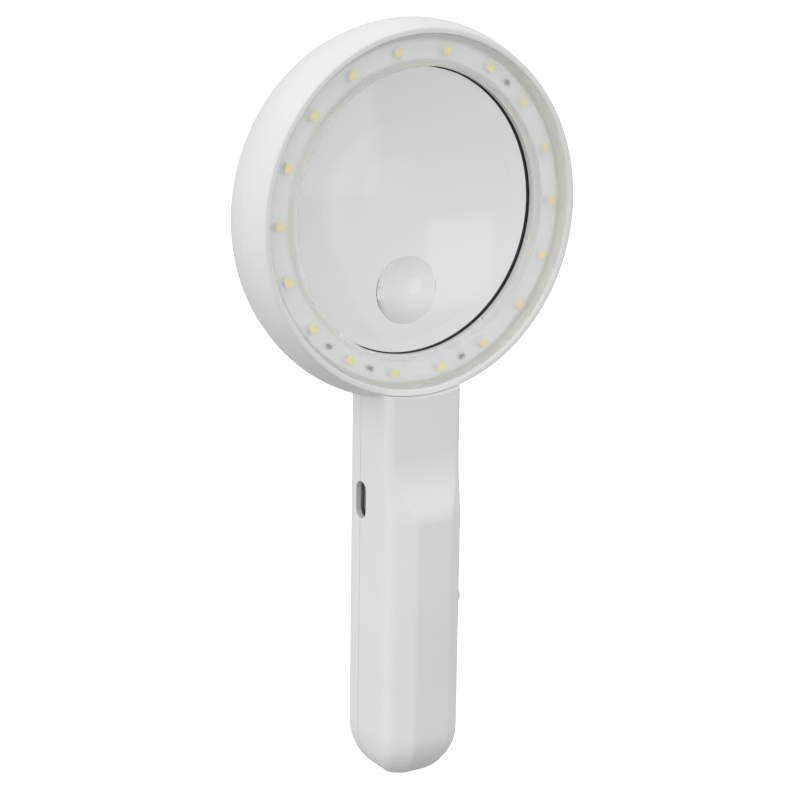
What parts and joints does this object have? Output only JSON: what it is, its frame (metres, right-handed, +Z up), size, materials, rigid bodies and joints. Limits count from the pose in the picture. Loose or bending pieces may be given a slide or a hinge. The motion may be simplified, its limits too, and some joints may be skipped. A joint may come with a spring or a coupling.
{
  "type": "low vision magnifier",
  "caption": "Handheld round magnifier with a ring of lights behind a frosted cover, a small strong lens raised on the main lens, a rechargeable grip and a side button.",
  "frame": {"origin": "middle of the grip, where the hand closes round it", "axes": "+Z up the handle to the head, -Y out of the lit side that faces the user, +Y out of the flat back, +X to the right as seen from the lit side"},
  "size_m": [0.1384, 0.0342, 0.2849],
  "materials": {
    "white_plastic": "white satin moulded ABS",
    "clear_lens": "clear, polished optical surfaces",
    "frosted_plastic": "frosted translucent light cover",
    "white_board": "white solder mask",
    "green_board": "green solder mask",
    "led_package": "white package with yellow phosphor",
    "black_plastic": "moulded black plastic",
    "red_insulation": "red wire insulation",
    "black_insulation": "black wire insulation",
    "plated_steel": "nickel-plated sheet",
    "screw_steel": "zinc-plated, satin",
    "cell_sleeve": "blue heat-shrink sleeve over a metal can"
  },
  "bodies": {
    "frame": {"battery_cell": "cell_sleeve", "battery_tab_bottom": "plated_steel", "battery_tab_top": "plated_steel", "battery_wire_negative": "black_insulation", "battery_wire_positive": "red_insulation", "charge_chip": "black_plastic", "control_board": "green_board", "diffuser_ring": "frosted_plastic", "front_shell": "white_plastic", "led_01": "led_package", "led_02": "led_package", "led_03": "led_package", "led_04": "led_package", "led_05": "led_package", "led_06": "led_package", "led_07": "led_package", "led_08": "led_package", "led_09": "led_package", "led_10": "led_package", "led_11": "led_package", "led_12": "led_package", "led_13": "led_package", "led_14": "led_package", "led_15": "led_package", "led_16": "led_package", "led_17": "led_package", "led_18": "led_package", "led_board": "white_board", "led_wire_negative": "black_insulation", "led_wire_positive": "red_insulation", "main_lens": "clear_lens", "rear_shell": "white_plastic", "resistor_1": "black_plastic", "resistor_2": "black_plastic", "resistor_3": "black_plastic", "resistor_4": "black_plastic", "screw_1": "screw_steel", "screw_2": "screw_steel", "screw_3": "screw_steel", "switch_board": "green_board", "switch_body": "black_plastic", "switch_wire_1": "black_insulation", "switch_wire_2": "black_insulation", "usb_shell": "plated_steel", "usb_tongue": "black_plastic"},
    "button": {"power_button": "white_plastic"},
    "plunger": {"switch_plunger": "black_plastic"}
  },
  "joints": [
    {"name": "button_travel", "type": "slide", "parent": "frame", "child": "button", "axis": [-1, 0, 0], "range_m": [0, 0.0005], "stiffness_N_per_m": 400, "springref_m": -0.001},
    {"name": "plunger_travel", "type": "slide", "parent": "frame", "child": "plunger", "axis": [-1, 0, 0], "range_m": [0, 0.00025]}
  ],
  "couplings": [
    {"joint": "plunger_travel", "follows": "button_travel", "ratio": 0.5}
  ]
}
